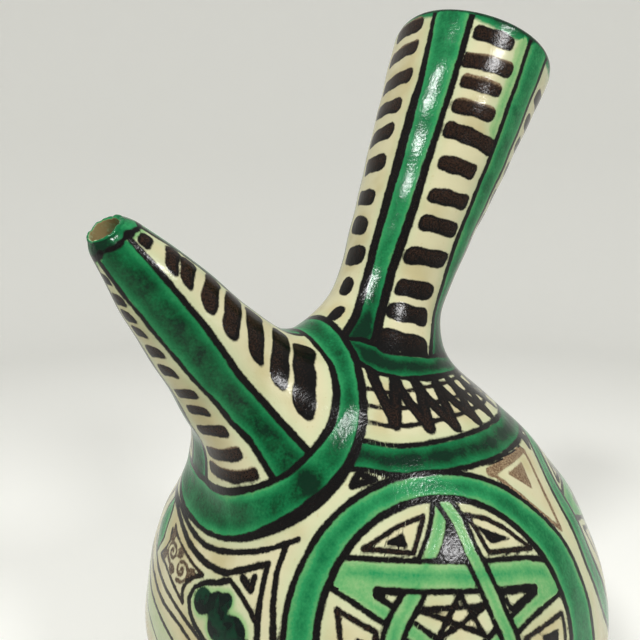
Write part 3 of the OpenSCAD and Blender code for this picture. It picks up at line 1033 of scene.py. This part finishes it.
def paint_body(canvas):
    az = azimuth(canvas.p)
    r = np.hypot(canvas.p[:, 0], canvas.p[:, 1])
    z = canvas.p[:, 2]
    arc = r * math.pi / 180
    top = z > RINGS_LOW
    # The rings climb a little where they meet the spout's collar
    level = z - hill(np.abs(az), middle=134, width=9, height=2.2)
    for height, half, tone in SHOULDER_RINGS:
        canvas.lay_ink(only(top, np.abs(level - height) * BAND_SLOPE - half), tone)
    paint_zigzag(canvas, az, r, arc, top)
    paint_band(canvas, level, BAND_TOP, BAND_LOW, BAND_SLOPE, deep=1.0, half=BAND_LINE, tone=LINE_TONE)
    for middle in MEDALLION_AZ:
        paint_medallion(canvas, middle, mirrored=middle > 0)
    paint_panel(canvas)
    paint_band(canvas, z, LOW_BAND_TOP, LOW_BAND_LOW, LOW_SLOPE, deep=0.45, half=1.0, tone=0.8)
    for k in range(LOW_DASHES):
        middle = 360.0 / LOW_DASHES * (k + 0.15 * rng.uniform(-1, 1))
        beyond = np.maximum(np.maximum(LOW_DASH_Z[0] - z, z - LOW_DASH_Z[1]), 0) * 1.3
        canvas.lay_ink(np.hypot(turned(az - middle) * arc, beyond) - LOW_DASH_HALF, tone=0.45)
    drips = ripple(az, (1.3, 5, 0), (1.0, 9, 0))
    canvas.bare = np.minimum(canvas.bare, (z - BARE_Z + drips) * 1.4)
    paint_collars(canvas)


# Materials
CREAM = (0.58, 0.545, 0.345, 1)
CREAM_GREEN = (0.45, 0.54, 0.325, 1)
CREAM_DARK = (0.49, 0.435, 0.24, 1)
GREENS = ((0.0, (0.29, 0.45, 0.20, 1)), (0.25, (0.12, 0.35, 0.125, 1)), (0.5, (0.02, 0.24, 0.08, 1)),
          (0.75, (0.003, 0.12, 0.038, 1)), (0.9, (0.001, 0.06, 0.018, 1)), (1.0, (0.0006, 0.02, 0.008, 1)))
BROWN = (0.030, 0.014, 0.008, 1)
BROWN_DARK = (0.009, 0.005, 0.003, 1)
BLACK = (0.003, 0.0025, 0.0025, 1)
CLAY = (0.42, 0.27, 0.15, 1)
CLAY_PALE = (0.55, 0.43, 0.28, 1)
CLAY_DEEP = (0.22, 0.165, 0.07, 1)
WASH = (0.32, 0.235, 0.135, 1)
WASH_DARK = (0.13, 0.075, 0.04, 1)
PINE = (0.0015, 0.03, 0.013, 1)
PINE_BLACK = (0.0015, 0.006, 0.0045, 1)
CLAY_SPECK = (0.22, 0.12, 0.06, 1)


class Graph:
    """Short names for building one material's nodes"""

    def __init__(self, name):
        self.material = bpy.data.materials.new(name)
        self.material.use_nodes = True
        self.tree = self.material.node_tree
        self.shader = self.tree.nodes["Principled BSDF"]
        self.coords = self.node("ShaderNodeTexCoord").outputs["Object"]

    def node(self, kind, **props):
        node = self.tree.nodes.new(kind)
        for key, value in props.items():
            setattr(node, key, value)
        return node

    def feed(self, socket, value):
        if isinstance(value, bpy.types.NodeSocket):
            self.tree.links.new(value, socket)
        else:
            socket.default_value = value

    def math(self, kind, a, b, clamp=False):
        node = self.node("ShaderNodeMath", operation=kind, use_clamp=clamp)
        self.feed(node.inputs[0], a)
        self.feed(node.inputs[1], b)
        return node.outputs[0]

    def add(self, a, b, clamp=False):
        return self.math("ADD", a, b, clamp)

    def times(self, a, b):
        return self.math("MULTIPLY", a, b)

    def swing(self, value, size):
        """A value about a half, as a swing of some size about zero"""
        return self.times(self.math("SUBTRACT", value, 0.5), size)

    def ease(self, value, low, high, start=0.0, end=1.0):
        node = self.node("ShaderNodeMapRange", interpolation_type="SMOOTHSTEP")
        keys = ("Value", "From Min", "From Max", "To Min", "To Max")
        for key, item in zip(keys, (value, low, high, start, end)):
            self.feed(node.inputs[key], item)
        return node.outputs[0]

    def inside(self, gap, edge):
        """Share of a paint, falling from one to none across its edge"""
        return self.ease(gap, *edge, 1.0, 0.0)

    def mix(self, share, a, b):
        node = self.node("ShaderNodeMix", data_type="RGBA")
        self.feed(node.inputs["Factor"], share)
        self.feed(node.inputs[6], a)
        self.feed(node.inputs[7], b)
        return node.outputs[2]

    def noise(self, size_mm, detail=2.0, rough=0.5):
        node = self.node("ShaderNodeTexNoise")
        self.feed(node.inputs["Vector"], self.coords)
        node.inputs["Scale"].default_value = 1.0 / (size_mm * MM)
        node.inputs["Detail"].default_value = detail
        node.inputs["Roughness"].default_value = rough
        return node.outputs[0]

    def attribute(self, name):
        return self.node("ShaderNodeAttribute", attribute_name=name).outputs["Fac"]

    def ramp(self, value, stops):
        node = self.node("ShaderNodeValToRGB")
        self.feed(node.inputs[0], value)
        line = node.color_ramp.elements
        while len(line) < len(stops):
            line.new(0.5)
        for element, (place, colour) in zip(line, stops):
            element.position = place
            element.color = colour
        return node.outputs[0]

    def finish(self, colour, rough, height, strength, depth_mm):
        """Colour, roughness and bumps of the surface"""
        bump = self.node("ShaderNodeBump")
        bump.inputs["Strength"].default_value = strength
        bump.inputs["Distance"].default_value = depth_mm * MM
        self.feed(bump.inputs["Height"], height)
        self.feed(self.shader.inputs["Base Color"], colour)
        self.feed(self.shader.inputs["Roughness"], rough)
        self.feed(self.shader.inputs["Normal"], bump.outputs[0])
        return self.material


# Reflection of the glaze, and gaps in millimetres over which the edges of the paints fade
GLAZE_SPECULAR = 0.17
INK_FADE, GREEN_FADE, BARE_FADE = (-0.35, 0.3), (-0.8, 0.9), (-0.25, 0.25)


def glaze(name):
    g = Graph(name)
    fine = g.noise(0.8, 3.0)
    mid = g.noise(3.5)
    broad = g.noise(16.0)
    grain = g.noise(0.6, 2.0, 0.7)
    tone = g.attribute("tone")
    ragged = g.add(g.swing(fine, 0.6), g.swing(mid, 0.8))
    ink = g.add(g.attribute("ink"), ragged)
    green = g.add(g.attribute("green"), g.times(ragged, 1.4))
    bare = g.add(g.attribute("bare"), ragged)
    ink_share = g.inside(ink, INK_FADE)
    bare_share = g.inside(bare, BARE_FADE)
    # Cream ground, greener beside the green and browner in broad clouds
    cream = g.mix(g.ease(broad, 0.42, 0.68), CREAM, CREAM_DARK)
    cream = g.mix(g.ease(green, 0.0, 6.0, 0.55, 0.0), cream, CREAM_GREEN)
    specks = g.ease(g.noise(1.5, 1.0), 0.70, 0.78, 0.0, 0.5)
    cream = g.mix(specks, cream, CREAM_DARK)
    # Green runs thin at its edges and pools in its middle
    pool = g.add(g.times(g.ease(green, 0.5, -4.5), 0.42), g.swing(g.attribute("deep"), 0.7))
    cloud = g.add(g.swing(g.noise(7.0, 3.0, 0.6), 0.6), g.swing(fine, 0.35))
    greens = g.ramp(g.add(g.add(pool, cloud), 0.26, clamp=True), GREENS)
    # Strokes are black at their edges and grainy brown where the paint lies thin
    dark = g.add(g.times(g.ease(ink, -1.6, -0.4), 0.4), tone)
    dark = g.add(dark, g.swing(grain, 1.2))
    brown = g.mix(g.ease(grain, 0.4, 0.6), BROWN, BROWN_DARK)
    inks = g.mix(g.ease(dark, 0.25, 0.95), brown, BLACK)
    wash = g.mix(g.ease(grain, 0.35, 0.6), WASH, WASH_DARK)
    inks = g.mix(g.inside(tone, (0.02, 0.16)), inks, wash)
    pine = g.mix(g.ease(mid, 0.45, 0.7), PINE_BLACK, PINE)
    inks = g.mix(g.ease(tone, 1.05, 1.4), inks, pine)
    clay = g.mix(g.ease(g.noise(2.2, 3.0), 0.4, 0.65), CLAY, CLAY_PALE)
    clay = g.mix(g.ease(tone, 0.6, 0.95), clay, CLAY_DEEP)
    colour = g.mix(g.inside(green, GREEN_FADE), cream, greens)
    colour = g.mix(bare_share, g.mix(ink_share, colour, inks), clay)
    rough = g.add(g.ease(fine, 0.3, 0.7, 0.1, 0.2), g.times(bare_share, 0.55))
    relief = g.add(g.times(fine, 0.7), g.times(mid, 1.2))
    relief = g.add(relief, g.times(ink_share, 0.25))
    g.shader.inputs["Specular IOR Level"].default_value = GLAZE_SPECULAR
    return g.finish(colour, rough, relief, strength=0.35, depth_mm=0.25)


def bare_clay(name):
    g = Graph(name)
    fine = g.noise(0.5, 4.0, 0.65)
    mid = g.noise(4.0, 3.0)
    colour = g.mix(g.ease(mid, 0.35, 0.7), CLAY, CLAY_PALE)
    specks = g.ease(g.noise(1.3, 1.0), 0.66, 0.74, 0.0, 0.7)
    colour = g.mix(specks, colour, CLAY_SPECK)
    rough = g.ease(fine, 0.3, 0.7, 0.7, 0.92)
    return g.finish(colour, rough, g.add(fine, mid), strength=0.5, depth_mm=0.4)


MATERIALS = {"painted_glaze": glaze("painted_glaze"), "green_glaze": glaze("green_glaze"),
             "bare_clay": bare_clay("bare_clay")}
PAINTS = ("ink", "tone", "green", "deep", "bare")
PAINT_LIMIT = 12.0
# Points further than this off the skin, such as those of the lips, keep the mesh's own normals
SKIN_MARGIN = 0.06


def make(node, slot, rings, sheets=(), caps=False):
    """One piece: its mesh, its paint and material, and the solid that it stands for"""
    guide = np.concatenate([sheet.ink for sheet in sheets]) if sheets else ()
    obj = loft("jug_" + node, rings, guide, caps)
    mesh = obj.data
    if sheets:
        outer = sheets[0]
        rest = Sheet(len(mesh.vertices) - len(guide))
        for paint in PAINTS:
            value = np.concatenate([getattr(sheet, paint) for sheet in (*sheets, rest)])
            layer = mesh.attributes.new(paint, "FLOAT", "POINT")
            layer.data.foreach_set("value", np.clip(value, -PAINT_LIMIT, PAINT_LIMIT).astype(np.float32))
        normals = np.zeros((len(mesh.vertices), 3), np.float32)
        mesh.vertex_normals.foreach_get("vector", normals.ravel())
        on_skin = np.flatnonzero(np.abs(skin_gap(outer.p)) < SKIN_MARGIN)
        normals[on_skin] = outer.n[on_skin]
        mesh.normals_split_custom_set_from_vertices(normals.tolist())
    mesh.materials.append(MATERIALS[slot])
    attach(obj, "root")
    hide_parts(node)


def painted(rows, painter):
    canvas = Canvas(np.concatenate(rows))
    painter(canvas)
    return canvas


neck_outer, neck_inner, neck_collar, neck_skirt = build_neck()
spout_outer, spout_inner, spout_collar, spout_skirt = build_spout()
upper_outer, upper_inner, lower_outer, lower_inner = build_bodies()

make("neck", "painted_glaze", neck_outer + neck_inner,
     (painted(neck_outer, paint_neck), painted(neck_inner, paint_neck_inside)))
make("neck_collar", "green_glaze", neck_collar + neck_skirt, (painted(neck_collar, paint_collars),))
make("spout", "painted_glaze", spout_outer + spout_inner,
     (painted(spout_outer, paint_spout), painted(spout_inner, paint_spout_inside)))
make("spout_collar", "green_glaze", spout_collar + spout_skirt, (painted(spout_collar, paint_collars),))
make("upper_body", "painted_glaze", upper_outer + upper_inner, (painted(upper_outer, paint_body),))
make("lower_body", "painted_glaze", lower_outer + lower_inner, (painted(lower_outer, paint_body),))
make("foot", "bare_clay", build_foot(), caps=True)

# Floor and backdrop: one pale bowl, open at the top, in metres
BOWL_HUB_R, BOWL_FLOOR_R, BOWL_BEND, BOWL_WALL_Z = 0.02, 1.0, 0.5, 1.5
BOWL_COLS, BOWL_FLOOR_ROWS, BOWL_BEND_ARC = 96, 12, (5, 90, 18)
BACKDROP_SEEN = (0.84, 0.84, 0.80, 1)
BACKDROP_LIGHTING = (0.55, 0.55, 0.525, 1)
BACKDROP_GLOW = 0.24
BACKDROP_ROUGH = 0.8


def backdrop():
    profile = [(r, 0.0) for r in np.linspace(BOWL_HUB_R, BOWL_FLOOR_R, BOWL_FLOOR_ROWS)]
    profile += [(BOWL_FLOOR_R + BOWL_BEND * math.sin(a), BOWL_BEND * (1 - math.cos(a)))
                for a in np.radians(np.linspace(*BOWL_BEND_ARC))]
    profile.append((BOWL_FLOOR_R + BOWL_BEND, BOWL_WALL_Z))
    verts = np.concatenate([level_ring(r, around(BOWL_COLS), z) for r, z in profile])
    _, _, quads = faces_between(len(profile), BOWL_COLS, len(profile) - 1)
    obj = add_mesh("backdrop", verts.tolist(), quads.tolist() + [list(range(BOWL_COLS))])
    g = Graph("backdrop")
    ray = g.node("ShaderNodeLightPath").outputs
    seen = g.add(ray["Is Camera Ray"], ray["Is Glossy Ray"])
    seen = g.add(seen, ray["Is Transmission Ray"], clamp=True)
    g.feed(g.shader.inputs["Base Color"], g.mix(seen, BACKDROP_LIGHTING, BACKDROP_SEEN))
    g.feed(g.shader.inputs["Emission Color"], BACKDROP_SEEN)
    g.feed(g.shader.inputs["Emission Strength"], g.times(seen, BACKDROP_GLOW))
    g.feed(g.shader.inputs["Roughness"], BACKDROP_ROUGH)
    obj.data.materials.append(g.material)


backdrop()


def placed(name, data, place, at):
    """An upright object that looks from one place towards another"""
    ahead = unit(np.asarray(at) - np.asarray(place))
    right = unit(np.cross(ahead, UP))
    above = np.cross(right, ahead)
    obj = bpy.data.objects.new(name, data)
    bpy.context.scene.collection.objects.link(obj)
    turn = Matrix([[right[k], above[k], -ahead[k]] for k in range(3)]).to_4x4()
    obj.matrix_world = Matrix.Translation(place) @ turn
    return obj


# Two soft lamps, by azimuth, elevation and distance from the jug's middle, size and power, and a pale sky
MIDDLE = 0.13 * UP
LAMPS = ((-160.0, 47.0, 0.95, 0.16, 5.5), (-80.0, 37.0, 0.95, 0.18, 4.0))
SKY = 0.55
SKY_COLOUR = (1.0, 0.99, 0.96, 1)

for k, (az, el, far, size, power) in enumerate(LAMPS):
    lamp = bpy.data.lights.new(f"lamp_{k}", "AREA")
    lamp.shape = "DISK"
    lamp.size = size
    lamp.energy = power
    placed(f"lamp_{k}", lamp, MIDDLE + far * direction(az, el), MIDDLE)

world = bpy.data.worlds.new("sky")
world.use_nodes = True
sky = world.node_tree.nodes["Background"]
sky.inputs["Color"].default_value = SKY_COLOUR
sky.inputs["Strength"].default_value = SKY
bpy.context.scene.world = world

# Camera at the photograph's place, in metres, the way it looks, and focal length and picture width in pixels
CAMERA_AT = np.array((-0.13066, -0.15735, 0.21214))
CAMERA_AZ, CAMERA_EL = 55.93193, -7.71201
FOCAL_PX, PICTURE_PX = 525.9, 640
SENSOR = 36.0
CLIP_START = 0.01

camera = bpy.data.cameras.new("camera")
camera.sensor_width = SENSOR
camera.lens = FOCAL_PX / PICTURE_PX * SENSOR
camera.clip_start = CLIP_START
bpy.context.scene.camera = placed("camera", camera, CAMERA_AT, CAMERA_AT + direction(CAMERA_AZ, CAMERA_EL))
bpy.context.scene.view_settings.view_transform = "Standard"
